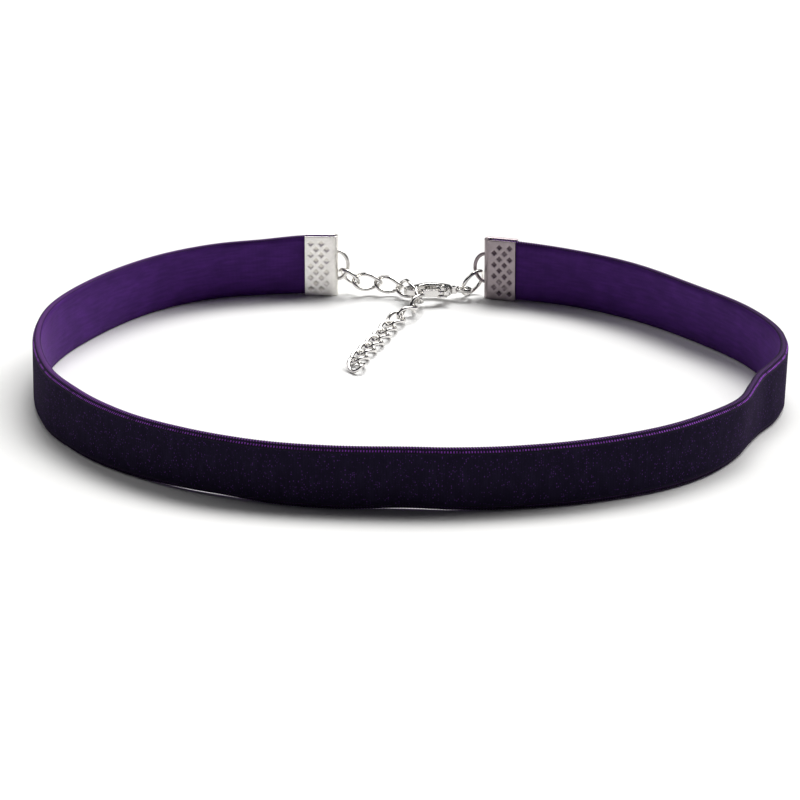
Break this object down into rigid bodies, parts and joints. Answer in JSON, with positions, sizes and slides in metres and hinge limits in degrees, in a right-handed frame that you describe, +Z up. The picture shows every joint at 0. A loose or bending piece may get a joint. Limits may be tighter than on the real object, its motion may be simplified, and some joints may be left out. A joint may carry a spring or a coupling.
{
  "type": "choker necklace",
  "caption": "Velvet ribbon choker, fastened at the back with a lobster clasp, crimped ribbon ends, jump rings and a free length of twisted-link chain.",
  "frame": {"origin": "on the surface the choker stands on, under the middle of its bounding box", "axes": "+X to the right as seen from the front of the choker, +Y towards the clasp at the back, +Z up along the ribbon's width"},
  "size_m": [0.1172, 0.1012, 0.0102],
  "materials": {
    "velvet": "velvet pile outside, woven purple back inside",
    "crimped_metal": "embossed, softly polished",
    "bright_metal": "polished"
  },
  "bodies": {
    "choker": {"velvet_ribbon": "velvet", "ribbon_end_left": "crimped_metal", "ribbon_end_right": "crimped_metal", "jump_ring_chain": "bright_metal", "jump_ring_clasp": "bright_metal", "chain_link_01": "bright_metal", "chain_link_02": "bright_metal", "chain_link_03": "bright_metal", "chain_link_04": "bright_metal", "chain_link_05": "bright_metal", "chain_link_06": "bright_metal", "chain_link_07": "bright_metal", "chain_link_08": "bright_metal", "chain_link_09": "bright_metal", "chain_link_10": "bright_metal", "chain_link_11": "bright_metal", "chain_link_12": "bright_metal", "chain_link_13": "bright_metal", "clasp_body": "bright_metal", "clasp_rivet": "bright_metal"},
    "lever": {"clasp_lever": "bright_metal"}
  },
  "joints": [
    {"name": "lever_pivot", "type": "hinge", "parent": "choker", "child": "lever", "pos_m": [0.0053, 0.04431, 0.00203], "axis": [0.0272, 0.1136, 0.9932], "range_deg": [-18, 0], "stiffness_Nm_per_rad": 0.001, "springref_deg": 8.59}
  ]
}
